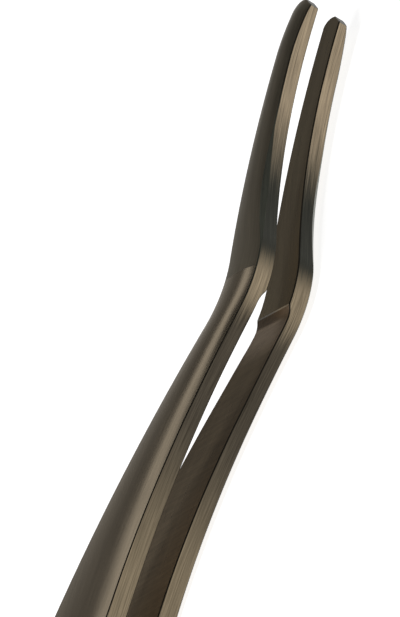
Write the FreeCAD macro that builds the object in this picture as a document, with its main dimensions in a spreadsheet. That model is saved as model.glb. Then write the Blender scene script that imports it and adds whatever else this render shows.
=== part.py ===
import FreeCAD, Part
import math
import os
import Sketcher

# Bent-tip print tongs: two springy steel arms, mirror images of each other, riveted at the
# heel over a flat spacer. X runs from the heel to the tips, Z is the way the arms open, and
# the tips bend towards +Y. The tongs lie on the flat land of the lower (right) arm: the
# origin is the middle of that land. All lengths are millimetres, all angles degrees.

doc = FreeCAD.newDocument("print_tongs")
sheet = doc.addObject("Spreadsheet::Sheet", "Dims")

# name: (value, what it is)
DIMS = {
    # the flat blade seen along Z: its convex edge, walked from the tip to the heel
    "convex_tip_x": (103.0, "end of the blank, past the finished tip"),
    "convex_tip_y": (3.98, "convex edge there"),
    "convex_tip_slope": (7.5, "run of the edge at the tip, from the X axis"),
    "convex_tip_run": (5.54, "straight at the tip"),
    "convex_nose_radius": (76.0, "slow curve of the nose"),
    "convex_nose_turn": (22.1, "its turn"),
    "convex_bend_radius": (12.6, "outside of the bend"),
    "convex_bend_turn": (42.1, "its turn"),
    "convex_front_radius": (174.0, "nearly straight run behind the bend"),
    "convex_front_turn": (3.2, "its turn"),
    "convex_sweep_radius": (94.3, "sweep into the grip"),
    "convex_sweep_turn": (14.9, "its turn"),
    "convex_belly_radius": (170.0, "widest part of the grip"),
    "convex_belly_turn": (7.3, "its turn"),
    # the concave edge, walked the same way
    "concave_tip_x": (103.0, "end of the blank, past the finished tip"),
    "concave_tip_y": (6.93, "concave edge there"),
    "concave_tip_slope": (8.2, "run of the edge at the tip, from the X axis"),
    "concave_tip_run": (5.9, "straight at the tip"),
    "concave_nose_radius": (145.0, "slow curve of the nose"),
    "concave_nose_turn": (12.5, "its turn"),
    "concave_bend_radius": (11.8, "inside of the bend"),
    "concave_bend_turn": (39.5, "its turn"),
    "concave_sweep_radius": (140.8, "sweep into the grip"),
    "concave_sweep_turn": (14.6, "its turn"),
    "concave_belly_radius": (150.0, "widest part of the grip"),
    "concave_belly_turn": (5.8, "its turn"),
    # the two ends of the blade
    "claw_centre_x": (98.08, "centre of the tip's round, which is on its concave side"),
    "claw_centre_y": (4.72, "centre of the tip's round"),
    "claw_radius": (1.54, "radius of the tip's round"),
    "claw_back_x": (97.8, "where the round comes in from outside the blade"),
    "claw_front_y": (4.59, "where the round ends and the bevel starts"),
    "bevel_end_x": (98.16, "where the bevel runs out, past the convex edge"),
    "bevel_end_y": (2.12, "where the bevel runs out, past the convex edge"),
    "heel_end_x": (-64.0, "back end of the tongs"),
    "heel_corner_radius": (3.0, "round of the heel's corners"),
    # the blade seen along Y, as heights above the middle plane: its inner face from the heel
    "profile_back_x": (-68.0, "where the side profile starts, behind the heel"),
    "heel_front_x": (-50.0, "front of the part that is clamped at the heel"),
    "heel_inner": (1.2, "inner face at the heel, half the spacer"),
    "flare_radius": (150.0, "where the blade leaves the spacer"),
    "flare_turn": (1.8, "its turn"),
    "grip_inner_radius": (1350.0, "hollow of the grip's inner face"),
    "grip_inner_turn": (2.5, "its turn"),
    "waist_inner_radius": (1050.0, "inner face between grip and bend"),
    "waist_inner_turn": (1.9, "its turn"),
    "front_inner_radius": (150.0, "inner face coming level before the step"),
    "front_inner": (2.13, "level run below the step"),
    "step_back_x": (60.0, "end of the level run"),
    "jaw_inner_back": (1.647, "jaw face just in front of the step"),
    "jaw_inner_front": (1.523, "jaw face at the end of the profile"),
    # its outer face from the heel
    "heel_outer": (3.2, "outer face at the heel"),
    "hollow_in_radius": (45.0, "ground hollow that thins the blade into a spring"),
    "hollow_in_turn": (5.0, "its turn"),
    "hollow_radius": (60.0, "bottom of the hollow"),
    "hollow_turn": (6.8, "its turn"),
    "rise_radius": (45.0, "rise out of the hollow"),
    "rise_turn": (9.2, "its turn"),
    "shoulder_radius": (54.5, "shoulder up to the land"),
    "land_run": (35.5, "length of the flat land on the grip, about X = 0"),
    "fall_radius": (350.0, "outer face falling away in front of the land"),
    "fall_turn": (1.1, "its turn"),
    "outer_waist_radius": (2200.0, "outer face between grip and bend"),
    "outer_waist_turn": (0.85, "its turn"),
    "outer_nose_radius": (1500.0, "outer face over the bend"),
    "outer_nose_turn": (0.75, "its turn"),
    "profile_front_x": (104.0, "where the side profile ends, past the tip"),
    # the jaw's step, ground across the inner face behind the bend
    "step_x": (64.0, "step line where it meets the convex edge"),
    "step_y": (-7.75, "step line where it meets the convex edge"),
    "step_angle": (22.6, "slant of the step line"),
    "step_scoop_run": (1.45, "length of the scooped run-out"),
    "step_scoop_radius": (2.4, "radius of the scooped run-out"),
    "step_run_back": (4.5, "how far back the step's cutter reaches"),
    # where its outer face rounds down to the tip
    "tip_from_x": (90.5, "where the round starts, level and just clear of the outer face"),
    "tip_from_height": (3.86, "height of that start"),
    "tip_fall_radius": (50.0, "long fall towards the tip"),
    "tip_fall_turn": (8.2, "its turn"),
    "tip_round_radius": (8.0, "round at the tip"),
    "tip_round_turn": (18.0, "its turn"),
    # long outer edges
    "outer_edge_above": (2.5, "edges higher than this belong to the outer face"),
    "edge_fall": (0.35, "how far the outer face falls to the edges"),
    "edge_width": (1.1, "over what width"),
    # heel and hinge
    "spring_x": (-41.0, "middle of the springing part, where each arm flexes"),
    "spring_cut": (0.06, "slit that stands for the flexing part"),
    "half_height": (4.75, "middle plane above the surface the tongs lie on"),
    "spacer_front_x": (-51.0, "front end of the spacer"),
    "rivet_back_x": (-59.5, "back rivet"),
    "rivet_pitch": (5.5, "from rivet to rivet"),
    "rivet_radius": (1.25, "shank"),
    "rivet_head_radius": (2.05, "flush countersunk head"),
    "rivet_head_depth": (0.8, "countersink"),
    # tools that are larger than the blade
    "reach": (20.0, "half the width of the bar that the blade is cut from"),
    "trim_back_x": (-75.0, "waste around the blade, behind the heel"),
    "trim_front_x": (110.0, "waste around the blade, past the tip"),
    "trim_reach": (25.0, "waste around the blade, to each side"),
}
RIVETS = 2
# a pocket that removes less than this, in cubic millimetres, has missed the blade
LEAST_CUT = 1.0
# how far a face's normal rises: above the first it lies level, below the second it stands upright
LEVEL_FACE = 0.9
UPRIGHT_FACE = 0.1
# an edge this close to the end of the blank is part of that end
END_MARGIN = 0.1

for row, (alias, (value, meaning)) in enumerate(DIMS.items(), start=1):
    sheet.set(f"A{row}", alias)
    sheet.set(f"B{row}", str(value))
    sheet.set(f"C{row}", meaning)
    sheet.setAlias(f"B{row}", alias)
doc.recompute()


def dim(alias):
    """The value of a cell, for places that are worked out before a sketch is solved."""
    return float(sheet.get(alias))


def bind(sketch, constraint, alias, unit=""):
    """Adds a constraint to a sketch and ties its value to a cell of the sheet."""
    index = sketch.addConstraint(constraint)
    name = f"{alias}_{index}"
    sketch.renameConstraint(index, name)
    sketch.setExpression(f"Constraints.{name}", f"Dims.{alias}{unit}")


def plane_of(body, role):
    """One of the body's own origin planes."""
    return next(feature for feature in body.Origin.OriginFeatures if feature.Role == role)


def new_sketch(body, name, role, offset=None):
    """A sketch on one of the body's own planes."""
    sketch = body.newObject("Sketcher::SketchObject", name)
    sketch.AttachmentSupport = [(plane_of(body, role), "")]
    sketch.MapMode = "FlatFace"
    if offset is not None:
        sketch.AttachmentOffset = offset
    return sketch


class Walk:
    """A run of tangent lines and arcs in a sketch, each of a size that a cell gives."""

    def __init__(self, sketch, at, heading):
        self.sketch = sketch
        self.at = FreeCAD.Vector(at[0], at[1], 0)
        self.heading = heading
        self.first = None
        self.last = None

    def _join(self, geo, start_point, end_point):
        if self.last is None:
            self.first = (geo, start_point)
        else:
            self.sketch.addConstraint(Sketcher.Constraint("Tangent", *self.last, geo, start_point))
        self.last = (geo, end_point)
        return geo

    def line(self, length):
        angle = math.radians(self.heading)
        end = self.at + FreeCAD.Vector(math.cos(angle), math.sin(angle), 0) * length
        geo = self.sketch.addGeometry(Part.LineSegment(self.at, end), False)
        self.at = end
        return self._join(geo, 1, 2)

    def arc(self, radius, turn):
        """Turns left for a positive turn and right for a negative one."""
        side = 1 if turn > 0 else -1
        to_centre = math.radians(self.heading + 90 * side)
        centre = self.at + FreeCAD.Vector(math.cos(to_centre), math.sin(to_centre), 0) * radius
        start_angle = math.radians(self.heading - 90 * side)
        end_angle = start_angle + math.radians(turn)
        low, high = sorted((start_angle, end_angle))
        circle = Part.Circle(centre, FreeCAD.Vector(0, 0, 1), radius)
        geo = self.sketch.addGeometry(Part.ArcOfCircle(circle, low, high), False)
        self.at = centre + FreeCAD.Vector(math.cos(end_angle), math.sin(end_angle), 0) * radius
        self.heading += turn
        return self._join(geo, 1, 2) if side > 0 else self._join(geo, 2, 1)

    def sized_line(self, alias):
        geo = self.line(dim(alias))
        bind(self.sketch, Sketcher.Constraint("Distance", geo, dim(alias)), alias)

    def sized_arc(self, name, side):
        """An arc whose cells are NAME_radius and NAME_turn."""
        radius = dim(f"{name}_radius")
        turn = dim(f"{name}_turn")
        geo = self.arc(radius, side * turn)
        bind(self.sketch, Sketcher.Constraint("Radius", geo, radius), f"{name}_radius")
        bind(self.sketch, Sketcher.Constraint("Angle", geo, math.radians(turn)), f"{name}_turn", " * 1 deg")


def pin_point(sketch, geo, point, alias_x, alias_y):
    bind(sketch, Sketcher.Constraint("DistanceX", -1, 1, geo, point, dim(alias_x)), alias_x)
    bind(sketch, Sketcher.Constraint("DistanceY", -1, 1, geo, point, dim(alias_y)), alias_y)


def walk_edge(sketch, name, side, moves):
    """One long edge of the blade, from the tip to the end of the heel's corner."""
    start = (dim(f"{name}_tip_x"), dim(f"{name}_tip_y"))
    slope = dim(f"{name}_tip_slope")
    edge = Walk(sketch, start, 180 + slope)
    edge.sized_line(f"{name}_tip_run")
    pin_point(sketch, *edge.first, f"{name}_tip_x", f"{name}_tip_y")
    angle = Sketcher.Constraint("Angle", -1, 1, edge.first[0], 2, math.radians(slope))
    bind(sketch, angle, f"{name}_tip_slope", " * 1 deg")
    for move, turn_side in moves:
        edge.sized_arc(f"{name}_{move}", turn_side)
    # straight on to the heel, then round the corner until the edge runs across the blade
    corner = dim("heel_corner_radius")
    lean = math.radians(edge.heading)
    corner_x = dim("heel_end_x") + corner + side * corner * math.sin(lean)
    edge.line((edge.at.x - corner_x) / -math.cos(lean))
    across = 180 + side * 90
    corner_arc = edge.arc(corner, across - edge.heading)
    bind(sketch, Sketcher.Constraint("Radius", corner_arc, corner), "heel_corner_radius")
    return edge


def blade_outline(sketch):
    """The blade seen along Z."""
    convex_moves = [("nose", 1), ("bend", -1), ("front", 1), ("sweep", 1), ("belly", -1)]
    concave_moves = [("nose", 1), ("bend", -1), ("sweep", 1), ("belly", 1)]
    convex = walk_edge(sketch, "convex", -1, convex_moves)
    concave = walk_edge(sketch, "concave", 1, concave_moves)
    # the heel's end runs straight across from corner to corner
    heel = sketch.addGeometry(Part.LineSegment(convex.at, concave.at), False)
    sketch.addConstraint(Sketcher.Constraint("Tangent", *convex.last, heel, 1))
    sketch.addConstraint(Sketcher.Constraint("Tangent", *concave.last, heel, 2))
    bind(sketch, Sketcher.Constraint("DistanceX", -1, 1, heel, 1, dim("heel_end_x")), "heel_end_x")
    # the blank is cut off square in front of where its tip will be
    end_corners = [sketch.getPoint(*edge.first) for edge in (convex, concave)]
    end = sketch.addGeometry(Part.LineSegment(*end_corners), False)
    sketch.addConstraint(Sketcher.Constraint("Coincident", end, 1, *convex.first))
    sketch.addConstraint(Sketcher.Constraint("Coincident", end, 2, *concave.first))


def rise(radius, start, turn):
    """How far an arc rises that starts at a slope and turns by an angle, in degrees."""
    side = 1 if turn > 0 else -1
    return side * radius * (math.cos(math.radians(start)) - math.cos(math.radians(start + turn)))


def climb_of(arcs):
    """How far a run of tangent arcs rises from level, and the slope that it ends with."""
    climb = 0
    slope = 0
    for name, side in arcs:
        turn = side * dim(f"{name}_turn")
        climb += rise(dim(f"{name}_radius"), slope, turn)
        slope += turn
    return climb, slope


def start_at_heel(sketch, level):
    """The straight, level run through the heel's clamped part."""
    back = dim("profile_back_x")
    walk = Walk(sketch, (back, dim(level)), 0)
    geo = walk.line(dim("heel_front_x") - back)
    pin_point(sketch, geo, 1, "profile_back_x", level)
    sketch.addConstraint(Sketcher.Constraint("Horizontal", geo))
    bind(sketch, Sketcher.Constraint("DistanceX", -1, 1, geo, 2, dim("heel_front_x")), "heel_front_x")
    return walk


def inner_profile(sketch):
    """The inner face from the heel to the tip, with the drop behind the jaw."""
    walk = start_at_heel(sketch, "heel_inner")
    climb, slope = climb_of([("flare", 1), ("grip_inner", -1), ("waist_inner", 1)])
    climb += rise(dim("front_inner_radius"), slope, -slope)
    walk.sized_arc("flare", 1)
    # the straight springing part takes up what is left of the rise
    left_over = dim("front_inner") - dim("heel_inner") - climb
    walk.line(left_over / math.sin(math.radians(walk.heading)))
    walk.sized_arc("grip_inner", -1)
    walk.sized_arc("waist_inner", 1)
    level_arc = walk.arc(dim("front_inner_radius"), -walk.heading)
    bind(sketch, Sketcher.Constraint("Radius", level_arc, dim("front_inner_radius")), "front_inner_radius")
    level = walk.line(dim("step_back_x") - walk.at.x)
    sketch.addConstraint(Sketcher.Constraint("Horizontal", level))
    pin_point(sketch, level, 2, "step_back_x", "front_inner")
    corner = FreeCAD.Vector(dim("step_back_x"), dim("jaw_inner_back"), 0)
    drop = sketch.addGeometry(Part.LineSegment(walk.at, corner), False)
    sketch.addConstraint(Sketcher.Constraint("Coincident", drop, 1, level, 2))
    tip = FreeCAD.Vector(dim("profile_front_x"), dim("jaw_inner_front"), 0)
    jaw = sketch.addGeometry(Part.LineSegment(corner, tip), False)
    sketch.addConstraint(Sketcher.Constraint("Coincident", drop, 2, jaw, 1))
    pin_point(sketch, jaw, 1, "step_back_x", "jaw_inner_back")
    pin_point(sketch, jaw, 2, "profile_front_x", "jaw_inner_front")
    return walk, jaw


def outer_profile(sketch):
    """The outer face from the heel over the ground hollow and the land to the tip."""
    walk = start_at_heel(sketch, "heel_outer")
    climb, slope = climb_of([("hollow_in", -1), ("hollow", 1), ("rise", 1)])
    climb += rise(dim("shoulder_radius"), slope, -slope)
    walk.sized_arc("hollow_in", -1)
    walk.sized_arc("hollow", 1)
    left_over = dim("half_height") - dim("heel_outer") - climb
    walk.line(left_over / math.sin(math.radians(walk.heading)))
    walk.sized_arc("rise", 1)
    shoulder = walk.arc(dim("shoulder_radius"), -walk.heading)
    bind(sketch, Sketcher.Constraint("Radius", shoulder, dim("shoulder_radius")), "shoulder_radius")
    land = walk.line(dim("land_run"))
    sketch.addConstraint(Sketcher.Constraint("Horizontal", land))
    bind(sketch, Sketcher.Constraint("Distance", land, dim("land_run")), "land_run")
    bind(sketch, Sketcher.Constraint("DistanceY", -1, 1, land, 2, dim("half_height")), "half_height")
    walk.sized_arc("fall", -1)
    walk.sized_arc("outer_waist", 1)
    walk.sized_arc("outer_nose", -1)
    walk.line((dim("profile_front_x") - walk.at.x) / math.cos(math.radians(walk.heading)))
    return walk


def blade_profile(sketch):
    """The blade seen along Y, above the middle plane."""
    inner, jaw = inner_profile(sketch)
    outer = outer_profile(sketch)
    front_foot = sketch.getPoint(jaw, 2)
    front = sketch.addGeometry(Part.LineSegment(front_foot, outer.at), False)
    sketch.addConstraint(Sketcher.Constraint("Coincident", front, 1, jaw, 2))
    sketch.addConstraint(Sketcher.Constraint("Coincident", front, 2, *outer.last))
    sketch.addConstraint(Sketcher.Constraint("Vertical", front))
    inner_back = sketch.getPoint(*inner.first)
    outer_back = sketch.getPoint(*outer.first)
    back = sketch.addGeometry(Part.LineSegment(inner_back, outer_back), False)
    sketch.addConstraint(Sketcher.Constraint("Coincident", back, 1, *inner.first))
    sketch.addConstraint(Sketcher.Constraint("Coincident", back, 2, *outer.first))


def box_around(sketch, back_alias, front_alias, reach_alias):
    """A rectangle about the X axis, wider than the blade."""
    low = dim(back_alias)
    high = dim(front_alias)
    reach = dim(reach_alias)
    corners = [(low, -reach), (high, -reach), (high, reach), (low, reach)]
    points = [FreeCAD.Vector(x, y, 0) for x, y in corners]
    sides = [sketch.addGeometry(Part.LineSegment(points[k], points[(k + 1) % 4]), False) for k in range(4)]
    for k in range(4):
        sketch.addConstraint(Sketcher.Constraint("Coincident", sides[k], 2, sides[(k + 1) % 4], 1))
    for k, way in enumerate(("Horizontal", "Vertical", "Horizontal", "Vertical")):
        sketch.addConstraint(Sketcher.Constraint(way, sides[k]))
    bind(sketch, Sketcher.Constraint("DistanceX", -1, 1, sides[0], 1, low), back_alias)
    bind(sketch, Sketcher.Constraint("DistanceX", -1, 1, sides[0], 2, high), front_alias)
    bind(sketch, Sketcher.Constraint("DistanceY", sides[0], 1, -1, 1, reach), reach_alias)
    bind(sketch, Sketcher.Constraint("DistanceY", -1, 1, sides[2], 1, reach), reach_alias)


def cut_through(body, sketch, name):
    """A pocket that runs right through the body both ways, checked to have removed something."""
    before = body.Tip.Shape.Volume
    pocket = body.newObject("PartDesign::Pocket", name)
    pocket.Profile = sketch
    pocket.SideType = "Symmetric"
    pocket.setExpression("Length", "2 * Dims.reach")
    doc.recompute()
    removed = before - pocket.Shape.Volume
    if removed < LEAST_CUT:
        raise RuntimeError(f"{name} cut only {removed} cubic millimetres")


def make_blade():
    """One whole arm, above the middle plane, before it is divided at its springing part."""
    body = doc.addObject("PartDesign::Body", "blade")
    profile = new_sketch(body, "blade_profile", "XZ_Plane")
    blade_profile(profile)
    doc.recompute()
    pad = body.newObject("PartDesign::Pad", "blade_bar")
    pad.Profile = profile
    pad.SideType = "Symmetric"
    pad.setExpression("Length", "2 * Dims.reach")
    doc.recompute()
    outline = new_sketch(body, "blade_outline", "XY_Plane")
    blade_outline(outline)
    box_around(outline, "trim_back_x", "trim_front_x", "trim_reach")
    doc.recompute()
    cut_through(body, outline, "blade_trim")
    cut_step(body)
    ease_edges(body)
    cut_claw(body)
    round_tip(body)
    return body


def cut_step(body):
    """The slanting step behind the jaw, with its scooped run-out."""
    slant = FreeCAD.Rotation(FreeCAD.Vector(0, 1, 0), dim("step_angle"))
    offset = FreeCAD.Placement(FreeCAD.Vector(dim("step_x"), 0, -dim("step_y")), slant)
    sketch = new_sketch(body, "step_profile", "XZ_Plane", offset)
    sketch.setExpression("AttachmentOffset.Base.x", "Dims.step_x")
    sketch.setExpression("AttachmentOffset.Base.z", "-Dims.step_y")
    sketch.setExpression("AttachmentOffset.Rotation.Angle", "Dims.step_angle * 1 deg")
    radius = dim("step_scoop_radius")
    run = dim("step_scoop_run")
    floor = dim("front_inner")
    back = -dim("step_run_back")
    low, high = math.acos(run / radius), math.pi / 2
    centre = FreeCAD.Vector(-run, floor - radius, 0)
    circle = Part.Circle(centre, FreeCAD.Vector(0, 0, 1), radius)
    crest = FreeCAD.Vector(0, centre.y + radius * math.sin(low), 0)
    scoop = sketch.addGeometry(Part.ArcOfCircle(circle, low, high), False)
    points = [FreeCAD.Vector(-run, floor, 0), FreeCAD.Vector(back, floor, 0)]
    points += [FreeCAD.Vector(back, 0, 0), FreeCAD.Vector(0, 0, 0), crest]
    lines = [sketch.addGeometry(Part.LineSegment(a, b), False) for a, b in zip(points, points[1:])]
    sketch.addConstraint(Sketcher.Constraint("Tangent", scoop, 2, lines[0], 1))
    for first, second in zip(lines, lines[1:]):
        sketch.addConstraint(Sketcher.Constraint("Coincident", first, 2, second, 1))
    sketch.addConstraint(Sketcher.Constraint("Coincident", lines[3], 2, scoop, 1))
    for line, way in zip(lines, ("Horizontal", "Vertical", "Horizontal", "Vertical")):
        sketch.addConstraint(Sketcher.Constraint(way, line))
    sketch.addConstraint(Sketcher.Constraint("Coincident", lines[2], 2, -1, 1))
    bind(sketch, Sketcher.Constraint("Radius", scoop, radius), "step_scoop_radius")
    bind(sketch, Sketcher.Constraint("DistanceX", scoop, 2, -1, 1, run), "step_scoop_run")
    bind(sketch, Sketcher.Constraint("DistanceY", -1, 1, lines[0], 2, floor), "front_inner")
    bind(sketch, Sketcher.Constraint("DistanceX", lines[0], 2, -1, 1, -back), "step_run_back")
    doc.recompute()
    cut_through(body, sketch, "step")


def cut_claw(body):
    """The finished tip: round on its concave side, bevelled back on its convex side."""
    sketch = new_sketch(body, "claw", "XY_Plane")
    centre = FreeCAD.Vector(dim("claw_centre_x"), dim("claw_centre_y"), 0)
    radius = dim("claw_radius")
    low = math.asin((dim("claw_front_y") - centre.y) / radius)
    high = math.acos((dim("claw_back_x") - centre.x) / radius)
    circle = Part.Circle(centre, FreeCAD.Vector(0, 0, 1), radius)
    round_side = sketch.addGeometry(Part.ArcOfCircle(circle, low, high), False)
    reach = dim("reach")
    front = dim("trim_front_x")
    bevel_end = FreeCAD.Vector(dim("bevel_end_x"), dim("bevel_end_y"), 0)
    round_back = sketch.getPoint(round_side, 2)
    points = [sketch.getPoint(round_side, 1), bevel_end, FreeCAD.Vector(bevel_end.x, -reach, 0)]
    points += [FreeCAD.Vector(front, -reach, 0), FreeCAD.Vector(front, reach, 0)]
    points += [FreeCAD.Vector(round_back.x, reach, 0), round_back]
    lines = [sketch.addGeometry(Part.LineSegment(a, b), False) for a, b in zip(points, points[1:])]
    for first, second in zip(lines, lines[1:]):
        sketch.addConstraint(Sketcher.Constraint("Coincident", first, 2, second, 1))
    sketch.addConstraint(Sketcher.Constraint("Coincident", lines[0], 1, round_side, 1))
    sketch.addConstraint(Sketcher.Constraint("Coincident", lines[-1], 2, round_side, 2))
    for line, way in zip(lines[1:], ("Vertical", "Horizontal", "Vertical", "Horizontal", "Vertical")):
        sketch.addConstraint(Sketcher.Constraint(way, line))
    pin_point(sketch, round_side, 3, "claw_centre_x", "claw_centre_y")
    bind(sketch, Sketcher.Constraint("Radius", round_side, radius), "claw_radius")
    bind(sketch, Sketcher.Constraint("DistanceX", -1, 1, round_side, 2, dim("claw_back_x")), "claw_back_x")
    bind(sketch, Sketcher.Constraint("DistanceY", -1, 1, round_side, 1, dim("claw_front_y")), "claw_front_y")
    pin_point(sketch, lines[0], 2, "bevel_end_x", "bevel_end_y")
    bind(sketch, Sketcher.Constraint("DistanceX", -1, 1, lines[3], 1, front), "trim_front_x")
    bind(sketch, Sketcher.Constraint("DistanceY", lines[2], 1, -1, 1, reach), "reach")
    bind(sketch, Sketcher.Constraint("DistanceY", -1, 1, lines[4], 1, reach), "reach")
    doc.recompute()
    cut_through(body, sketch, "claw_cut")


def round_tip(body):
    """The outer face rounds down to the tip."""
    sketch = new_sketch(body, "tip_profile", "XZ_Plane")
    walk = Walk(sketch, (dim("tip_from_x"), dim("tip_from_height")), 0)
    walk.sized_arc("tip_fall", -1)
    walk.sized_arc("tip_round", -1)
    fall, start = walk.first
    pin_point(sketch, fall, start, "tip_from_x", "tip_from_height")
    sketch.addConstraint(Sketcher.Constraint("Vertical", fall, start, fall, 3))
    above = dim("half_height")
    points = [walk.at, FreeCAD.Vector(walk.at.x, above, 0)]
    points += [FreeCAD.Vector(dim("tip_from_x"), above, 0), sketch.getPoint(fall, start)]
    lines = [sketch.addGeometry(Part.LineSegment(a, b), False) for a, b in zip(points, points[1:])]
    sketch.addConstraint(Sketcher.Constraint("Coincident", lines[0], 1, *walk.last))
    for first, second in zip(lines, lines[1:]):
        sketch.addConstraint(Sketcher.Constraint("Coincident", first, 2, second, 1))
    sketch.addConstraint(Sketcher.Constraint("Coincident", lines[2], 2, fall, start))
    for line, way in zip(lines, ("Vertical", "Horizontal", "Vertical")):
        sketch.addConstraint(Sketcher.Constraint(way, line))
    bind(sketch, Sketcher.Constraint("DistanceY", -1, 1, lines[1], 1, above), "half_height")
    doc.recompute()
    cut_through(body, sketch, "tip_rounding")


def rise_of_normal(face, edge):
    """How far a face's normal rises where one of its edges starts: 1 is level, 0 is upright."""
    return abs(face.normalAt(*face.Surface.parameter(edge.valueAt(edge.FirstParameter))).z)


def ease_edges(body):
    """The outer face falls away a little to its long edges."""
    base = body.Tip
    names = []
    for number, edge in enumerate(base.Shape.Edges, start=1):
        faces = base.Shape.ancestorsOfType(edge, Part.Face)
        rises = [rise_of_normal(face, edge) for face in faces]
        above = edge.BoundBox.ZMin > dim("outer_edge_above")
        cut_off = edge.BoundBox.XMin > dim("convex_tip_x") - END_MARGIN
        if above and not cut_off and min(rises) < UPRIGHT_FACE and max(rises) > LEVEL_FACE:
            names.append(f"Edge{number}")
    chamfer = body.newObject("PartDesign::Chamfer", "outer_edges")
    chamfer.Base = (base, names)
    chamfer.ChamferType = "Two distances"
    chamfer.setExpression("Size", "Dims.edge_fall")
    chamfer.setExpression("Size2", "Dims.edge_width")
    doc.recompute()


def make_spacer_blank():
    """The plate between the arms, cut to the same outline as they are."""
    body = doc.addObject("PartDesign::Body", "spacer_blank")
    outline = new_sketch(body, "spacer_outline", "XY_Plane")
    blade_outline(outline)
    doc.recompute()
    pad = body.newObject("PartDesign::Pad", "spacer_plate")
    pad.Profile = outline
    pad.SideType = "Symmetric"
    pad.setExpression("Length", "2 * Dims.heel_inner")
    doc.recompute()
    waste = new_sketch(body, "spacer_waste", "XY_Plane")
    box_around(waste, "spacer_front_x", "trim_front_x", "trim_reach")
    doc.recompute()
    cut_through(body, waste, "spacer_front")
    return body


def make_box(name, low_x, high_x, low_z, high_z):
    """A box across the whole width, between expressions of the sheet's cells."""
    box = doc.addObject("Part::Box", name)
    box.setExpression("Length", f"({high_x}) - ({low_x})")
    box.setExpression("Width", "2 * Dims.reach")
    box.setExpression("Height", f"({high_z}) - ({low_z})")
    box.setExpression("Placement.Base.x", low_x)
    box.setExpression("Placement.Base.y", "-Dims.reach")
    box.setExpression("Placement.Base.z", low_z)
    return box


def make_rivet(number):
    """A flush rivet: a shank with a countersunk head at each end."""
    where = f"Dims.rivet_back_x + {number} * Dims.rivet_pitch"
    shank = doc.addObject("Part::Cylinder", f"rivet_shank_{number}")
    shank.setExpression("Radius", "Dims.rivet_radius")
    shank.setExpression("Height", "2 * Dims.heel_outer")
    shank.setExpression("Placement.Base.x", where)
    shank.setExpression("Placement.Base.z", "-Dims.heel_outer")
    pieces = [shank]
    for end, level in (("low", "-Dims.heel_outer"), ("high", "Dims.heel_outer - Dims.rivet_head_depth")):
        head = doc.addObject("Part::Cone", f"rivet_head_{end}_{number}")
        wide, narrow = ("Radius1", "Radius2") if end == "low" else ("Radius2", "Radius1")
        head.setExpression(wide, "Dims.rivet_head_radius")
        head.setExpression(narrow, "Dims.rivet_radius")
        head.setExpression("Height", "Dims.rivet_head_depth")
        head.setExpression("Placement.Base.x", where)
        head.setExpression("Placement.Base.z", level)
        pieces.append(head)
    rivet = doc.addObject("Part::MultiFuse", f"rivet_{number}")
    rivet.Shapes = pieces
    return rivet


def combine(kind, name, base, tool):
    """A boolean of two objects, such as Part::Cut."""
    result = doc.addObject(kind, name)
    result.Base = base
    result.Tool = tool
    return result


def mirror_of(name, source):
    """The same piece on the other side of the tongs' middle plane."""
    mirrored = doc.addObject("Part::Mirroring", name)
    mirrored.Source = source
    mirrored.Normal = FreeCAD.Vector(0, 0, 1)
    mirrored.setExpression("Base.z", "Dims.half_height")
    return mirrored


def raise_up(piece):
    """Lifts a piece that is built about the middle plane to where that plane really is."""
    piece.setExpression("Placement.Base.z", "Dims.half_height")
    return piece


blade = make_blade()
spacer_blank = make_spacer_blank()
rivet_set = doc.addObject("Part::Compound", "rivet_set")
rivet_set.Links = [make_rivet(number) for number in range(RIVETS)]

# the arm flexes at its thin part: what is in front of the slit swings, what is behind is clamped
slit_front = "Dims.spring_x + Dims.spring_cut / 2"
slit_back = "Dims.spring_x - Dims.spring_cut / 2"
front_room = make_box("front_room", slit_front, "Dims.trim_front_x", "0", "Dims.reach")
heel_room = make_box("heel_room", "Dims.trim_back_x", slit_back, "0", "Dims.reach")
left_arm = raise_up(combine("Part::Common", "left_arm", blade, front_room))
left_heel_blank = combine("Part::Common", "left_heel_blank", blade, heel_room)
left_heel = raise_up(combine("Part::Cut", "left_heel", left_heel_blank, rivet_set))
heel_spacer = raise_up(combine("Part::Cut", "heel_spacer", spacer_blank, rivet_set))
right_arm = mirror_of("right_arm", left_arm)
right_heel = mirror_of("right_heel", left_heel)
heel_rivets = raise_up(doc.addObject("Part::Compound", "heel_rivets"))
heel_rivets.Links = [rivet_set]
doc.recompute()

for thing in doc.Objects:
    if "Invalid" in thing.State or "Error" in thing.State:
        raise RuntimeError(f"{thing.Name} failed: {thing.State}")
os.makedirs("parts", exist_ok=True)
for piece in (right_arm, left_arm, right_heel, left_heel, heel_spacer, heel_rivets):
    node = piece.Label
    shape = piece.Shape
    if shape.isNull() or not shape.isValid() or not shape.Solids:
        raise RuntimeError(f"{node} has no valid shape")
    shape.exportStep(f"parts/{node}.step")
    print(f"{node}: {len(shape.Solids)} solid, {shape.Volume:.1f} mm3")
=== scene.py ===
import math

import bmesh
import bpy
from mathutils import Matrix, Vector


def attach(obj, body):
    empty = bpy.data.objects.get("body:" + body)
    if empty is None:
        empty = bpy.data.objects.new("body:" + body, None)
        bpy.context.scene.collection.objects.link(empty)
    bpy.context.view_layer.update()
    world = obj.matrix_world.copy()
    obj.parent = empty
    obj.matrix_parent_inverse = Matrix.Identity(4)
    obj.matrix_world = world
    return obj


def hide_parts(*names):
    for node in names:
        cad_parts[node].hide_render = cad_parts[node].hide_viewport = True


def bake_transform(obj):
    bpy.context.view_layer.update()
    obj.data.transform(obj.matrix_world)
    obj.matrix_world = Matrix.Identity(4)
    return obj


# Bent-tip print tongs: two springy steel arms, mirror images of each other, riveted at the heel
# over a flat spacer. X runs from the heel to the tips, Z is the way the arms open and the tips
# bend towards +Y. Lengths are millimetres until a finished mesh is brought to metres.

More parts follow.
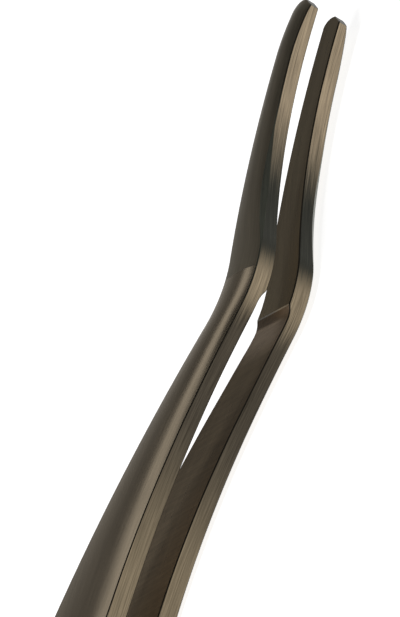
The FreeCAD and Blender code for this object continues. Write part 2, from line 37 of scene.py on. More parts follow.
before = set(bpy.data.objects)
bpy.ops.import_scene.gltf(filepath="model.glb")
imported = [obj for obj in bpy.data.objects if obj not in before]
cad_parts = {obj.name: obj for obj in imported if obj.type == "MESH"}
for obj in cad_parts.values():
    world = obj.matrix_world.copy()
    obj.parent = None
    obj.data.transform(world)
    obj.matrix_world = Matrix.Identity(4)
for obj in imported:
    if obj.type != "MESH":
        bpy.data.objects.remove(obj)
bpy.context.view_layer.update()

MM = 0.001
HALF_HEIGHT = 4.75      # middle plane, above the surface the tongs lie on

# the heel
HEEL_X = -64.0
HEEL_FRONT_X = -50.0
HEEL_CORNER = 3.0
HEEL_INNER = 1.2
HEEL_OUTER = 3.2
PROFILE_BACK_X = -68.0

# the tip: round on its concave side, bevelled back on its convex side
TIP_X = 99.615
CLAW_CENTRE = (98.08, 4.72)
CLAW_RADIUS = 1.54
CLAW_ROUND_FROM = 97.8
BEVEL_LOW = (98.16, 2.12)
BEVEL_HIGH = (99.615, 4.59)
BEVEL_FROM = 98.85      # where the bevel meets the convex edge
ROUND_FROM = (90.5, 3.86)       # the outer face rounds down to the tip from just clear of here

# the step behind the jaw
STEP_CORNER = (64.0, -7.75)
STEP_SLANT = math.radians(22.6)
STEP_RUN = 1.45
STEP_RADIUS = 2.4
STEP_LIP = 0.08
LIP_RUN = STEP_LIP / math.cos(STEP_SLANT)
FRONT_INNER = 2.13
JAW_BACK = (60.0, 1.647)
JAW_FRONT = (104.0, 1.523)
LIP_BACK_X = STEP_CORNER[0] - LIP_RUN
LIP_FRONT_X = STEP_CORNER[0] + LIP_RUN

# outlines of the blade: the radius in millimetres and the turn in degrees of each arc in order,
# from the tip back for its two edges and from the heel forwards for its two faces
CONVEX_ARCS = [(76.0, 22.1), (12.6, -42.1), (174.0, 3.2), (94.3, 14.9), (170.0, -7.3)]
CONCAVE_ARCS = [(145.0, 12.5), (11.8, -39.5), (140.8, 14.6), (150.0, 5.8)]
FLARE_ARC = (150.0, 1.8)
INNER_ARCS = [(1350.0, -2.5), (1050.0, 1.9), (150.0, -1.2)]
HOLLOW_ARCS = [(45.0, -5.0), (60.0, 6.8)]
SHOULDER_ARCS = [(45.0, 9.2), (54.5, -11.0)]
FLAT_LAND = 35.5
OUTER_ARCS = [(350.0, -1.1), (2200.0, 0.85), (1500.0, -0.75)]
TIP_ARCS = [(50.0, -8.2), (8.0, -18.0)]

# how the outer face falls to its long edges, and how those are eased
EDGE_FALL = 0.35
EASED_INNER = 0.12
EASED_OUTER = 0.10
WORN_FACET = 0.50
WORN_MIDDLE_X = 76.0
WORN_REACH = 10.0
EASED_SHARE = 0.3       # the most of a narrow section's width that each eased edge takes


class Chain:
    """Straights and tangent arcs laid end to end in a plane, read as a height at each X."""

    def __init__(self, x, height, heading):
        self.x = x
        self.height = height
        self.heading = math.radians(heading)
        self.runs = []

    def _add(self, x, height, reads):
        self.runs.append((min(self.x, x), max(self.x, x), reads))
        self.x = x
        self.height = height

    def straight(self, length):
        x0, h0, slope = self.x, self.height, math.tan(self.heading)
        end_x = x0 + length * math.cos(self.heading)
        end_h = h0 + length * math.sin(self.heading)
        self._add(end_x, end_h, lambda x: h0 + slope * (x - x0))
        return self

    def straight_to_x(self, x):
        return self.straight((x - self.x) / math.cos(self.heading))

    def arc(self, radius, turn):
        """Turns left for a positive turn and right for a negative one."""
        side = 1 if turn > 0 else -1
        to_centre = self.heading + side * math.pi / 2
        cx = self.x + radius * math.cos(to_centre)
        cy = self.height + radius * math.sin(to_centre)
        bulge = -1 if math.sin(to_centre) > 0 else 1
        self.heading += math.radians(turn)
        from_centre = to_centre + math.radians(turn) + math.pi
        end_x = cx + radius * math.cos(from_centre)
        end_h = cy + radius * math.sin(from_centre)
        self._add(end_x, end_h, lambda x: cy + bulge * math.sqrt(max(radius**2 - (x - cx) ** 2, 0)))
        return self

    def arcs(self, arcs):
        for radius, turn in arcs:
            self.arc(radius, turn)
        return self

    def straight_then_arcs(self, level, arcs):
        """A straight of the length that brings the arcs after it to end at a level."""
        trial = Chain(0, 0, math.degrees(self.heading)).arcs(arcs)
        self.straight((level - self.height - trial.height) / math.sin(self.heading))
        return self.arcs(arcs)

    def at(self, x):
        """The height at X, from the run that X is in or nearest to."""
        near = min(self.runs, key=lambda run: max(run[0] - x, x - run[1], 0))
        return near[2](x)


def convex_edge():
    """The edge on the outside of the bend, from in front of the tip to the heel."""
    edge = Chain(103.0, 3.98, 180 + 7.5).straight(5.54)
    return edge.arcs(CONVEX_ARCS).straight_to_x(PROFILE_BACK_X)


def concave_edge():
    """The edge on the inside of the bend, from in front of the tip to the heel."""
    edge = Chain(103.0, 6.93, 180 + 8.2).straight(5.9)
    return edge.arcs(CONCAVE_ARCS).straight_to_x(PROFILE_BACK_X)


def inner_face():
    """Height above the middle plane, from the heel to the step."""
    face = Chain(PROFILE_BACK_X, HEEL_INNER, 0).straight_to_x(HEEL_FRONT_X).arc(*FLARE_ARC)
    face.straight_then_arcs(FRONT_INNER, INNER_ARCS)
    return face.straight_to_x(STEP_CORNER[0])


def outer_face():
    """Height of the crown of the outer face above the middle plane, from the heel to the tip."""
    face = Chain(PROFILE_BACK_X, HEEL_OUTER, 0).straight_to_x(HEEL_FRONT_X)
    face.arcs(HOLLOW_ARCS).straight_then_arcs(HALF_HEIGHT, SHOULDER_ARCS)
    face.straight(FLAT_LAND).arcs(OUTER_ARCS)
    return face.straight_to_x(JAW_FRONT[0])


CONVEX = convex_edge()
CONCAVE = concave_edge()
INNER = inner_face()
OUTER = outer_face()
TIP_ROUND = Chain(*ROUND_FROM, 0).arcs(TIP_ARCS)


def ramp(x, low, high):
    """0 below low, 1 above high, and a smooth rise between them."""
    share = min(max((x - low) / (high - low), 0), 1)
    return share * share * (3 - 2 * share)


def heel_inset(x):
    """How far the round of the heel's corners comes in from the edge."""
    run = HEEL_CORNER - (x - HEEL_X)
    return HEEL_CORNER - math.sqrt(max(HEEL_CORNER**2 - run**2, 0)) if run > 0 else 0


def low_edge(x):
    """The convex edge with the heel's corner and the tip's bevel."""
    bevel_slope = (BEVEL_HIGH[1] - BEVEL_LOW[1]) / (BEVEL_HIGH[0] - BEVEL_LOW[0])
    bevel = BEVEL_LOW[1] + bevel_slope * (x - BEVEL_LOW[0])
    edge = CONVEX.at(x) + heel_inset(x)
    return max(edge, bevel) if x > BEVEL_LOW[0] else edge


def high_edge(x):
    """The concave edge with the heel's corner and the round of the tip."""
    edge = CONCAVE.at(x) - heel_inset(x)
    if x < CLAW_ROUND_FROM:
        return edge
    rise = math.sqrt(max(CLAW_RADIUS**2 - (x - CLAW_CENTRE[0]) ** 2, 0))
    return min(edge, CLAW_CENTRE[1] + rise)


def lean(station):
    """1 where the sections lie along the slanting step, 0 where they run straight across."""
    return ramp(station, 46.0, 60.0) * (1 - ramp(station, 66.0, 84.0))


def section_x(station, y):
    """X of a section's point, so that the section at the step lies along the step's line."""
    return station - lean(station) * math.tan(STEP_SLANT) * (y - STEP_CORNER[1])


EDGE_PASSES = 12


def edge_y(station, edge):
    """Where a section meets an edge. Each pass comes closer, because the section leans little."""
    y = edge(station)
    for _ in range(EDGE_PASSES):
        y = edge(section_x(station, y))
    return y


def behind_step(x, y):
    """Distance behind the step's line."""
    return (STEP_CORNER[0] - x) * math.cos(STEP_SLANT) - (y - STEP_CORNER[1]) * math.sin(STEP_SLANT)


def jaw_or_scoop(distance, x):
    """The jaw face in front of the step, and the scooped run-out behind it."""
    if distance <= 0:
        slope = (JAW_FRONT[1] - JAW_BACK[1]) / (JAW_FRONT[0] - JAW_BACK[0])
        return JAW_BACK[1] + slope * (x - JAW_BACK[0])
    if distance < STEP_RUN:
        return FRONT_INNER - STEP_RADIUS + math.sqrt(STEP_RADIUS**2 - (STEP_RUN - distance) ** 2)
    return INNER.at(x)


def inner_height(x, y):
    distance = behind_step(x, y)
    if abs(distance) < STEP_LIP:
        share = (distance + STEP_LIP) / (2 * STEP_LIP)
        return jaw_or_scoop(-STEP_LIP, x) * (1 - share) + jaw_or_scoop(STEP_LIP, x) * share
    return jaw_or_scoop(distance, x)


def outer_height(x, y):
    """The outer face is crowned: it falls away to the edges of the blade it was cut from."""
    low, high = CONVEX.at(x), CONCAVE.at(x)
    across = min(max(2 * (y - low) / (high - low) - 1, -1), 1)
    crown = OUTER.at(x) if x < ROUND_FROM[0] else min(OUTER.at(x), TIP_ROUND.at(x))
    return crown - EDGE_FALL * across**2


# shares of the width at which a section has a point
OUTER_SHARES = (0, 0.04, 0.09, 0.16, 0.25, 0.37, 0.5, 0.63, 0.75, 0.84, 0.91, 0.96, 1)
INNER_SHARES = (1, 0.75, 0.5, 0.25, 0)
(OUTER_STEEL, JAW_OUTER_STEEL, EDGE_STEEL, EASED_STEEL, INNER_STEEL, JAW_INNER_STEEL, WORN_STEEL,
 BEVEL_STEEL, LIP_STEEL) = range(9)
DULL_FROM = 66.0        # the outer face is duller from here to the tip


def section(station):
    """The points of one section, going round it, as X, Y and height above the middle plane."""
    low = edge_y(station, low_edge)
    high = edge_y(station, high_edge)
    width = high - low
    eased = min(EASED_OUTER, EASED_SHARE * width)
    inner_eased = min(EASED_INNER, EASED_SHARE * width)
    worn = 1 - ramp(abs(station - WORN_MIDDLE_X), 0, WORN_REACH)
    facet = max(eased, WORN_FACET * worn)
    corners = []

    def add(y, height_of, drop=0.0):
        x = section_x(station, y)
        corners.append((x, y, height_of(x, y) + drop))

    for share in OUTER_SHARES:
        add(low + facet + (width - facet - eased) * share, outer_height)
    add(high, outer_height, -eased)
    add(high, inner_height, inner_eased)
    for share in INNER_SHARES:
        add(low + inner_eased + (width - 2 * inner_eased) * share, inner_height)
    add(low, inner_height, inner_eased)
    add(low, outer_height, -facet)
    return corners


def section_steels(station):
    """Which steel each strip has that starts at a section, in the same order round it."""
    convex = BEVEL_STEEL if station >= BEVEL_FROM else EDGE_STEEL
    inner = JAW_INNER_STEEL if station > STEP_CORNER[0] else INNER_STEEL
    outer = JAW_OUTER_STEEL if station >= DULL_FROM else OUTER_STEEL
    if station == LIP_BACK_X:
        inner = LIP_STEEL
    strips = [outer] * (len(OUTER_SHARES) - 1) + [EASED_STEEL, EDGE_STEEL, EASED_STEEL]
    return strips + [inner] * (len(INNER_SHARES) - 1) + [EASED_STEEL, convex, WORN_STEEL]


def across_grain(spot, steel):
    """The grain keeps level along the edges, and keeps its distance from the edge on the faces."""
    if steel in (OUTER_STEEL, JAW_OUTER_STEEL, INNER_STEEL, JAW_INNER_STEEL):
        return spot.y - CONVEX.at(spot.x)
    return spot.z


def evenly(low, high, count):
    """Equal steps from low, stopping one short of high."""
    return [low + (high - low) * k / count for k in range(count)]


def slowing(low, high, count):
    """Steps that shorten towards the high end, for an edge that curves in there."""
    return [low + (high - low) * math.sin(math.pi / 2 * k / count) for k in range(count)]


HEEL_CORNER_END_X = HEEL_X + HEEL_CORNER
SCOOP_BACK_X = STEP_CORNER[0] - STEP_RUN / math.cos(STEP_SLANT)

# the blade from the heel to the step: where each stretch starts and ends, and its sections
BLADE_STRETCHES = [(HEEL_FRONT_X, -17.0, 60), (-17.0, 19.0, 24), (19.0, 58.0, 48)]
BLADE_STRETCHES += [(58.0, SCOOP_BACK_X, 10), (SCOOP_BACK_X, LIP_BACK_X, 10)]
HEEL_CORNER_SECTIONS = 10
HEEL_SECTIONS = 8
BEND_FRONT_X = 80.0
BEND_SECTIONS = 44
JAW_SECTIONS = 28
TIP_SECTIONS = 26


def stations():
    """Where the blade has sections: close together where it curves."""
    corner = slowing(HEEL_X, HEEL_CORNER_END_X, HEEL_CORNER_SECTIONS)
    places = [HEEL_X] + [2 * HEEL_X + HEEL_CORNER - x for x in corner][::-1]
    places += evenly(HEEL_CORNER_END_X, HEEL_FRONT_X, HEEL_SECTIONS)[1:]
    for low, high, count in BLADE_STRETCHES:
        places += evenly(low, high, count)
    places += [LIP_BACK_X, LIP_FRONT_X]
    places += evenly(LIP_FRONT_X, BEND_FRONT_X, BEND_SECTIONS)[1:]
    places += evenly(BEND_FRONT_X, CLAW_ROUND_FROM, JAW_SECTIONS)
    places += slowing(CLAW_ROUND_FROM, TIP_X, TIP_SECTIONS)
    return sorted(places + [BEVEL_FROM, TIP_X])


SHARP_ANGLE = math.radians(16)      # edges that turn more than this are creases
DOUBLES_WITHIN = 1e-5


def make_arm(name, side, steels):
    """One whole arm as one mesh: its heel section is extruded from section to section."""
    bm = bmesh.new()
    uv = bm.loops.layers.uv.new("brushing")
    places = stations()

    def spot(corner):
        return Vector((corner[0], corner[1], HALF_HEIGHT + side * corner[2]))

    ring = [bm.verts.new(spot(corner)) for corner in section(places[0])]
    count = len(ring)
    edges = [bm.edges.new((ring[k], ring[(k + 1) % count])) for k in range(count)]
    heel_edges = list(edges)
    for back, front in zip(places, places[1:]):
        made = bmesh.ops.extrude_edge_only(bm, edges=edges)["geom"]
        fresh = {item for item in made if isinstance(item, bmesh.types.BMVert)}
        next_ring = []
        for vert in ring:
            partner = next(e.other_vert(vert) for e in vert.link_edges if e.other_vert(vert) in fresh)
            next_ring.append(partner)
        for vert, corner in zip(next_ring, section(front)):
            vert.co = spot(corner)
        edges = [bm.edges.get((next_ring[k], next_ring[(k + 1) % count])) for k in range(count)]
        strips = section_steels(back)
        for k in range(count):
            four = (ring[k], ring[(k + 1) % count], next_ring[(k + 1) % count], next_ring[k])
            face = bm.faces.get(four)
            face.material_index = strips[k]
            for loop in face.loops:
                at = back if loop.vert in (ring[k], ring[(k + 1) % count]) else front
                loop[uv].uv = (at, across_grain(loop.vert.co, strips[k]))
        ring = next_ring
    for rim in (heel_edges, edges):
        cap = bmesh.ops.contextual_create(bm, geom=rim)["faces"]
        for face in cap:
            face.material_index = EDGE_STEEL
            for loop in face.loops:
                loop[uv].uv = (loop.vert.co.y, loop.vert.co.z)
    return finish_mesh(bm, name, steels)


def finish_mesh(bm, name, steels):
    """Turns the faces outwards, brings the mesh to metres and makes an object of it."""
    bmesh.ops.remove_doubles(bm, verts=bm.verts, dist=DOUBLES_WITHIN)
    bmesh.ops.recalc_face_normals(bm, faces=bm.faces)
    for face in bm.faces:
        face.smooth = True
    for edge in bm.edges:
        edge.smooth = len(edge.link_faces) == 2 and edge.calc_face_angle() < SHARP_ANGLE
    bmesh.ops.scale(bm, vec=(MM, MM, MM), verts=bm.verts)
    mesh = bpy.data.meshes.new(name)
    bm.to_mesh(mesh)
    bm.free()
    for steel in steels:
        mesh.materials.append(steel)
    piece = bpy.data.objects.new(name, mesh)
    bpy.context.scene.collection.objects.link(piece)
    return piece


# ---- rivets ----

RIVET_BACK_X = -59.5
RIVET_PITCH = 5.5
RIVET_RADIUS = 1.25
RIVET_HEAD = 2.05
RIVET_HEAD_DEPTH = 0.8
RIVET_PROUD = 0.07
RIVET_RIM = 0.06
RIVET_RIM_RISE = 0.2    # how proud the rim stands, as a share of the middle
RIVET_CROWN = [(0, 1), (0.5, 0.8), (0.85, 0.45)]    # shares of the head's radius and of its rise
RIVET_STEPS = 48


def make_rivets(steel):
    """Both heel rivets: each is half a profile, spun about its own axis."""
    bm = bmesh.new()
    for number in range(2):
        centre = Vector((RIVET_BACK_X + number * RIVET_PITCH, 0, HALF_HEIGHT))
        half = [(out * RIVET_HEAD, HEEL_OUTER + rise * RIVET_PROUD) for out, rise in RIVET_CROWN]
        half += [(RIVET_HEAD - RIVET_RIM, HEEL_OUTER + RIVET_RIM_RISE * RIVET_PROUD)]
        half += [(RIVET_HEAD, HEEL_OUTER - RIVET_RIM), (RIVET_RADIUS, HEEL_OUTER - RIVET_HEAD_DEPTH)]
        profile = half + [(radius, -height) for radius, height in reversed(half)]
        verts = [bm.verts.new(centre + Vector((radius, 0, height))) for radius, height in profile]
        edges = [bm.edges.new(pair) for pair in zip(verts, verts[1:])]
        bmesh.ops.spin(bm, geom=verts + edges, cent=centre, axis=(0, 0, 1), dvec=(0, 0, 0),
                       angle=2 * math.pi, steps=RIVET_STEPS, use_merge=True, use_normal_flip=False,
                       use_duplicate=False)
    return finish_mesh(bm, "heel_rivet_pair", [steel])


# ---- finishes ----

NOISE_LOW = 0.3         # nearly all of a noise lies between these two
NOISE_HIGH = 0.7
GRAIN_ROUGHNESS = 0.62
BRUSH_ALONG = 0.16      # grain per millimetre along the brushing
BRUSH_ACROSS = 7.0      # grain per millimetre across it
BRUSH_DETAIL = 6.0
BRUSH_DEPTH = 0.08
BRUSH_UNEVEN = 0.035    # how much the roughness varies
POLISHED_DETAIL = 1.5
POLISHED_DEPTH = 0.015
POLISHED_UNEVEN = 0.004
SCRATCH_HEIGHT = 0.01   # millimetres
BRUSH_ANISOTROPY = 0.5
QUARTER_TURN = 0.25     # highlights draw out across the brushing
DRIFT_PITCH = (0.05, 0.6, 1)            # of the slow drift of tone on a blade, per millimetre
HEEL_DRIFT_PITCH = (0.1, 0.5, 0.5)      # and on the heel parts
DRIFT_DETAIL = 2.0
HEEL_STREAK = 0.2
TONE_DRIFT = 0.1
GRIND_SLANT = math.radians(-60)         # the grinding marks on the inner faces slant across them
GRIND_LENGTH = 5.0
GRIND_PITCH = 0.4
GRIND_DETAIL = 2.0
TONE_WANDER = 1.2       # how raggedly, in millimetres, the edges' tones run into each other


def add_node(tree, kind, **values):
    """A new node, with its settings. Its sockets are set afterwards."""
    node = tree.nodes.new(kind)
    for name, value in values.items():
        setattr(node, name, value)
    return node


def link_mapping(tree, place, scale):
    """A place stretched by a scale, for a pattern to read."""
    mapping = add_node(tree, "ShaderNodeMapping")
    mapping.inputs["Scale"].default_value = scale
    tree.links.new(place, mapping.inputs["Vector"])
    return mapping.outputs["Vector"]


def grain(tree, place, scale, detail):
    """Noise drawn out along the brushing."""
    node = add_node(tree, "ShaderNodeTexNoise")
    node.inputs["Scale"].default_value = 1.0
    node.inputs["Detail"].default_value = detail
    node.inputs["Roughness"].default_value = GRAIN_ROUGHNESS
    tree.links.new(link_mapping(tree, place, scale), node.inputs["Vector"])
    return node.outputs["Fac"]


def spread(tree, source, low, high, out_low, out_high):
    """Brings a value's range to another range."""
    node = add_node(tree, "ShaderNodeMapRange")
    node.inputs["From Min"].default_value = low
    node.inputs["From Max"].default_value = high
    node.inputs["To Min"].default_value = out_low
    node.inputs["To Max"].default_value = out_high
    tree.links.new(source, node.inputs["Value"])
    return node.outputs["Result"]


def spread_noise(tree, noise, low, high):
    return spread(tree, noise, NOISE_LOW, NOISE_HIGH, low, high)


def times(tree, first, second):
    """One colour or number multiplied by another."""
    node = add_node(tree, "ShaderNodeVectorMath", operation="MULTIPLY")
    tree.links.new(first, node.inputs[0])
    tree.links.new(second, node.inputs[1])
    return node.outputs["Vector"]


def set_stops(node, stops):
    """Fills a colour ramp that has two stops to begin with."""
    elements = node.color_ramp.elements
    while len(elements) < len(stops):
        elements.new(0.5)
    for element, (position, colour) in zip(elements, stops):
        element.position = position
        element.color = (*colour, 1)


def tone_along(tree, place, tones, fine, wander):
    """The colour, which changes along the blade at about the given places. Some of these tones are
    painted reflections and painted shade.
    """
    split = add_node(tree, "ShaderNodeSeparateXYZ")
    tree.links.new(place, split.inputs["Vector"])
    moved = add_node(tree, "ShaderNodeMath", operation="ADD")
    tree.links.new(split.outputs["X"], moved.inputs[0])
    tree.links.new(spread_noise(tree, fine, -wander, wander), moved.inputs[1])
    share = spread(tree, moved.outputs[0], HEEL_X, TIP_X, 0, 1)
    node = add_node(tree, "ShaderNodeValToRGB")
    node.color_ramp.interpolation = "EASE"
    set_stops(node, [((x - HEEL_X) / (TIP_X - HEEL_X), colour) for x, colour in tones])
    tree.links.new(share, node.inputs["Fac"])
    return node.outputs["Color"]


def start_steel(name, rough, anisotropy):
    """A plain metal, with its node tree and its shader."""
    material = bpy.data.materials.new(name)
    material.use_nodes = True
    shader = material.node_tree.nodes["Principled BSDF"]
    shader.inputs["Metallic"].default_value = 1.0
    shader.inputs["Roughness"].default_value = rough
    shader.inputs["Anisotropic"].default_value = anisotropy
    return material, material.node_tree, shader


def add_bump(tree, height, strength):
    """Scratches too fine to be modelled."""
    bump = add_node(tree, "ShaderNodeBump")
    bump.inputs["Strength"].default_value = strength
    bump.inputs["Distance"].default_value = SCRATCH_HEIGHT * MM
    tree.links.new(height, bump.inputs["Height"])
    return bump


def grinding(tree):
    """Slanting grinding marks."""
    place = add_node(tree, "ShaderNodeTexCoord").outputs["Object"]
    turned = add_node(tree, "ShaderNodeMapping", vector_type="TEXTURE")
    turned.inputs["Rotation"].default_value = (0, 0, GRIND_SLANT)
    turned.inputs["Scale"].default_value = (GRIND_LENGTH * MM, GRIND_PITCH * MM, GRIND_PITCH * MM)
    tree.links.new(place, turned.inputs["Vector"])
    return grain(tree, turned.outputs["Vector"], (1, 1, 1), GRIND_DETAIL)


def finish_steel(tree, shader, colour, fine, broad, rough, streak, marks=0.0, polished=False):
    """Brushing streaks in colour, gloss and height, over a slow drift of tone."""
    streaks = spread_noise(tree, fine, 1 - streak, 1 + streak)
    drift = spread_noise(tree, broad, 1 - TONE_DRIFT, 1 + TONE_DRIFT)
    colour = times(tree, times(tree, colour, streaks), drift)
    uneven = POLISHED_UNEVEN if polished else BRUSH_UNEVEN
    gloss = spread_noise(tree, fine, rough - uneven, rough + uneven)
    tree.links.new(gloss, shader.inputs["Roughness"])
    bump = add_bump(tree, fine, POLISHED_DEPTH if polished else BRUSH_DEPTH)
    normal = bump.outputs["Normal"]
    if marks:
        scratches = grinding(tree)
        ground = add_bump(tree, scratches, marks)
        tree.links.new(normal, ground.inputs["Normal"])
        normal = ground.outputs["Normal"]
        colour = times(tree, colour, spread_noise(tree, scratches, 1 - marks, 1 + marks))
    tree.links.new(colour, shader.inputs["Base Color"])
    tree.links.new(normal, shader.inputs["Normal"])


def blade_steel(name, tones, rough, streak=0.2, marks=0.0, tint=1.0, wander=0.0, polished=False):
    """Satin steel brushed along the blade, following its bends."""
    material, tree, shader = start_steel(name, rough, BRUSH_ANISOTROPY)
    shader.inputs["Specular Tint"].default_value = (tint, tint, tint, 1)
    shader.inputs["Anisotropic Rotation"].default_value = QUARTER_TURN
    place = add_node(tree, "ShaderNodeUVMap", uv_map="brushing").outputs["UV"]
    tangent = add_node(tree, "ShaderNodeTangent", direction_type="UV_MAP", uv_map="brushing")
    tree.links.new(tangent.outputs["Tangent"], shader.inputs["Tangent"])
    detail = POLISHED_DETAIL if polished else BRUSH_DETAIL
    fine = grain(tree, place, (BRUSH_ALONG, BRUSH_ACROSS, 1), detail)
    broad = grain(tree, place, DRIFT_PITCH, DRIFT_DETAIL)
    colour = tone_along(tree, place, tones, fine, wander)
    finish_steel(tree, shader, colour, fine, broad, rough, streak, marks, polished)
    return material


def heel_steel(name, tone, rough):
    """The same satin steel on the small heel parts, brushed along X."""
    material, tree, shader = start_steel(name, rough, 0.0)
    place = add_node(tree, "ShaderNodeTexCoord").outputs["Object"]
    brushing = (BRUSH_ALONG / MM, BRUSH_ACROSS / MM, BRUSH_ACROSS / MM)
    fine = grain(tree, place, brushing, BRUSH_DETAIL)
    broad = grain(tree, place, [pitch / MM for pitch in HEEL_DRIFT_PITCH], DRIFT_DETAIL)
    colour = add_node(tree, "ShaderNodeRGB")
    colour.outputs[0].default_value = (*tone, 1)
    finish_steel(tree, shader, colour.outputs[0], fine, broad, rough, HEEL_STREAK)
    return material


# colours of the steel's finishes, and of the reflections, shade and glint painted on parts of them
BEIGE = (0.29, 0.23, 0.155)
TAN = (0.20, 0.16, 0.105)
# the next two are painted dark reflections on the edge faces, behind the bend and in front of it
PAINTED_GREY_BROWN_REFLECTION = (0.062, 0.052, 0.038)
DARK_PAINTED_REFLECTION = (0.026, 0.026, 0.020)
WARM_TAN = (0.225, 0.18, 0.12)
BRONZE = (0.255, 0.21, 0.15)
JAW_BRONZE = (0.22, 0.19, 0.14)
UMBER = (0.20, 0.155, 0.10)
# painted shade on the inner face behind the step
PAINTED_UMBER_SHADE = (0.155, 0.118, 0.073)
JAW_UMBER = (0.175, 0.14, 0.088)
SCOOP_BROWN = (0.30, 0.235, 0.17)
# a painted dark line of shade along the eased edges
PAINTED_EDGE_LINE_SHADE = (0.05, 0.044, 0.035)
GREEN_GREY = (0.12, 0.125, 0.10)
PALE_GREY = (0.17, 0.165, 0.15)
# a painted glint along the step's lip
PAINTED_LIP_GLINT = (0.62, 0.58, 0.50)
RIVET_GREY = (0.34, 0.31, 0.26)

# tones that change along the blade: the X in millimetres of each tone. On the edge faces they are
# painted reflections: a grey-brown band behind the bend and a near-black band in front of it, between
# paler tans and beige. On the inner face the darker band behind the step is painted shade, and the
# worn corner runs out at both ends into the painted dark line of the eased edges.
EDGE_PAINTED_REFLECTIONS = [(28, TAN), (50, PAINTED_GREY_BROWN_REFLECTION), (59.5, PAINTED_GREY_BROWN_REFLECTION), (63.5, WARM_TAN), (65.5, WARM_TAN)]
EDGE_PAINTED_REFLECTIONS += [(69.5, DARK_PAINTED_REFLECTION), (76, DARK_PAINTED_REFLECTION), (88, BEIGE)]
INNER_TONES = [(36, UMBER), (50, PAINTED_UMBER_SHADE), (58, PAINTED_UMBER_SHADE), (62, SCOOP_BROWN)]
WORN_TONES = [(60, PAINTED_EDGE_LINE_SHADE), (69, GREEN_GREY), (82, GREEN_GREY), (90, PAINTED_EDGE_LINE_SHADE)]

ARM_STEELS = [
    blade_steel("outer_face_steel", [(0, BRONZE), (60, BRONZE)], 0.17, streak=0.12, polished=True),
    blade_steel("jaw_outer_steel", [(70, JAW_BRONZE), (90, JAW_BRONZE)], 0.42, streak=0.12),
    # the edge faces carry painted reflections along their length
    blade_steel("edge_face_steel", EDGE_PAINTED_REFLECTIONS, 0.40, streak=0.5, wander=TONE_WANDER),
    # the eased edges carry a painted dark line of shade
    blade_steel("eased_edge_steel", [(0, PAINTED_EDGE_LINE_SHADE), (90, PAINTED_EDGE_LINE_SHADE)], 0.34),
    blade_steel("inner_face_steel", INNER_TONES, 0.30, streak=0.1, marks=0.12),
    blade_steel("jaw_inner_steel", [(70, JAW_UMBER), (90, JAW_UMBER)], 0.30, streak=0.1),
    blade_steel("worn_corner_steel", WORN_TONES, 0.30),
    blade_steel("tip_bevel_steel", [(0, PALE_GREY), (90, PALE_GREY)], 0.42, tint=0.6),
    blade_steel("step_lip_painted_glint", [(0, PAINTED_LIP_GLINT), (60, PAINTED_LIP_GLINT)], 0.30),
]
rivet_steel = heel_steel("rivet_head_steel", RIVET_GREY, 0.33)
spacer_steel = heel_steel("spacer_plate_steel", TAN, 0.42)

# ---- the pieces, with the rivets on the heel's body ----

for side_name, side in (("right", -1), ("left", 1)):
    arm = make_arm(f"{side_name}_blade", side, ARM_STEELS)
    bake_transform(arm)
    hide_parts(f"{side_name}_arm", f"{side_name}_heel")

rivets = make_rivets(rivet_steel)
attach(rivets, "heel")
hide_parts("heel_rivets")

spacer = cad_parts["heel_spacer"]
spacer.data.materials.clear()
spacer.data.materials.append(spacer_steel)

# ---- floor, light and camera ----

FLOOR_REACH = 3.0
FLOOR_GLOW = 0.80
FLOOR_COLOUR = (0.8, 0.8, 0.8, 1)
AIM = (60.107, -2.385, 10.329)      # what the camera and the lamps face


def make_floor():
    """A plain pale floor. Where it is looked at, or seen in the steel, it glows up to white."""
    bm = bmesh.new()
    bmesh.ops.create_grid(bm, x_segments=1, y_segments=1, size=FLOOR_REACH)
    mesh = bpy.data.meshes.new("floor")
    bm.to_mesh(mesh)
    bm.free()
    floor = bpy.data.objects.new("floor", mesh)
    bpy.context.scene.collection.objects.link(floor)
    material = bpy.data.materials.new("pale_floor")
    material.use_nodes = True
    tree = material.node_tree
    shader = tree.nodes["Principled BSDF"]
    shader.inputs["Base Color"].default_value = FLOOR_COLOUR
    shader.inputs["Roughness"].default_value = 1.0
    shader.inputs["Specular IOR Level"].default_value = 0.0
    shader.inputs["Emission Color"].default_value = (1, 1, 1, 1)
    path = add_node(tree, "ShaderNodeLightPath")
    seen = path.outputs["Is Camera Ray"]
    for other in ("Is Glossy Ray", "Is Transmission Ray"):
        either = add_node(tree, "ShaderNodeMath", operation="MAXIMUM")
        tree.links.new(seen, either.inputs[0])
        tree.links.new(path.outputs[other], either.inputs[1])
        seen = either.outputs[0]
    glow = add_node(tree, "ShaderNodeMath", operation="MULTIPLY")
    glow.inputs[1].default_value = FLOOR_GLOW
    tree.links.new(seen, glow.inputs[0])
    tree.links.new(glow.outputs[0], shader.inputs["Emission Strength"])
    material.cycles.emission_sampling = "NONE"
    mesh.materials.append(material)


def make_lamp(name, azimuth, elevation, distance, width, height, power):
    """A soft box in metres and watts that faces the front of the grip, and where it stands."""
    data = bpy.data.lights.new(name, "AREA")
    data.shape = "RECTANGLE"
    data.size = width
    data.size_y = height
    data.energy = power
    lamp = bpy.data.objects.new(name, data)
    a, e = math.radians(azimuth), math.radians(elevation)
    away = Vector((math.cos(a) * math.cos(e), math.sin(a) * math.cos(e), math.sin(e)))
    lamp.location = Vector(AIM) * MM + away * distance
    lamp.rotation_euler = away.to_track_quat("Z", "Y").to_euler()
    bpy.context.scene.collection.objects.link(lamp)


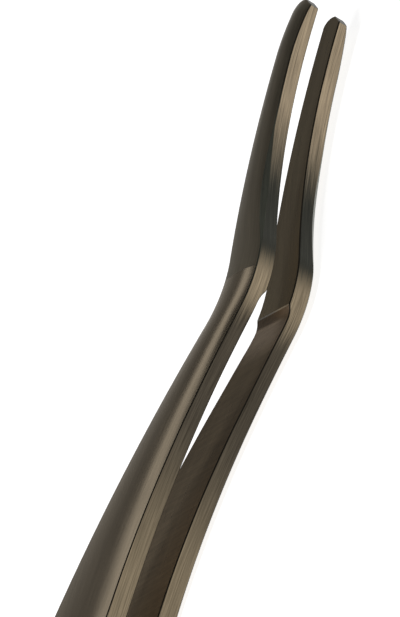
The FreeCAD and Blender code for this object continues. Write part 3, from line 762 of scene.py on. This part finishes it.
CAMERA_DISTANCE = 456.5
CAMERA_AZIMUTH = math.radians(-15.096)
CAMERA_ELEVATION = math.radians(30.0)
CAMERA_ROLL = math.radians(-61.42)
CAMERA_LENS = 245.05
SENSOR = 36.0


def make_camera():
    """A long lens that looks down on the bend, with the tips towards the top of its frame."""
    data = bpy.data.cameras.new("camera")
    data.sensor_width = SENSOR
    data.lens = CAMERA_LENS
    data.clip_start = 0.02
    data.clip_end = 20
    camera = bpy.data.objects.new("camera", data)
    towards = Vector((math.sin(CAMERA_AZIMUTH) * math.cos(CAMERA_ELEVATION),
                      -math.cos(CAMERA_AZIMUTH) * math.cos(CAMERA_ELEVATION),
                      math.sin(CAMERA_ELEVATION)))
    level = Vector((math.cos(CAMERA_AZIMUTH), math.sin(CAMERA_AZIMUTH), 0))
    right = Matrix.Rotation(CAMERA_ROLL, 3, towards) @ level
    turn = Matrix((right, towards.cross(right), towards)).transposed()
    stand = (Vector(AIM) + towards * CAMERA_DISTANCE) * MM
    camera.matrix_world = Matrix.Translation(stand) @ turn.to_4x4()
    bpy.context.scene.collection.objects.link(camera)
    bpy.context.scene.camera = camera


# the studio's grey from the horizon to overhead, each against the sine of its height
STUDIO_GREYS = [(0.0, 0.50), (0.24, 0.38), (0.50, 0.20), (0.68, 0.11), (1.0, 0.06)]


def make_world():
    """The studio around: paler at the horizon than overhead."""
    world = bpy.data.worlds.new("studio")
    world.use_nodes = True
    tree = world.node_tree
    split = add_node(tree, "ShaderNodeSeparateXYZ")
    tree.links.new(add_node(tree, "ShaderNodeTexCoord").outputs["Generated"], split.inputs["Vector"])
    grade = add_node(tree, "ShaderNodeValToRGB")
    set_stops(grade, [(height, (grey, grey, grey)) for height, grey in STUDIO_GREYS])
    tree.links.new(split.outputs["Z"], grade.inputs["Fac"])
    tree.links.new(grade.outputs["Color"], tree.nodes["Background"].inputs["Color"])
    bpy.context.scene.world = world


make_floor()
make_world()
make_lamp("far_box", azimuth=75.5, elevation=47, distance=1.0, width=0.30, height=0.20, power=0.18)
make_lamp("heel_box", azimuth=195, elevation=60, distance=1.2, width=0.5, height=0.5, power=6.0)
make_camera()
bpy.context.scene.view_settings.view_transform = "Standard"
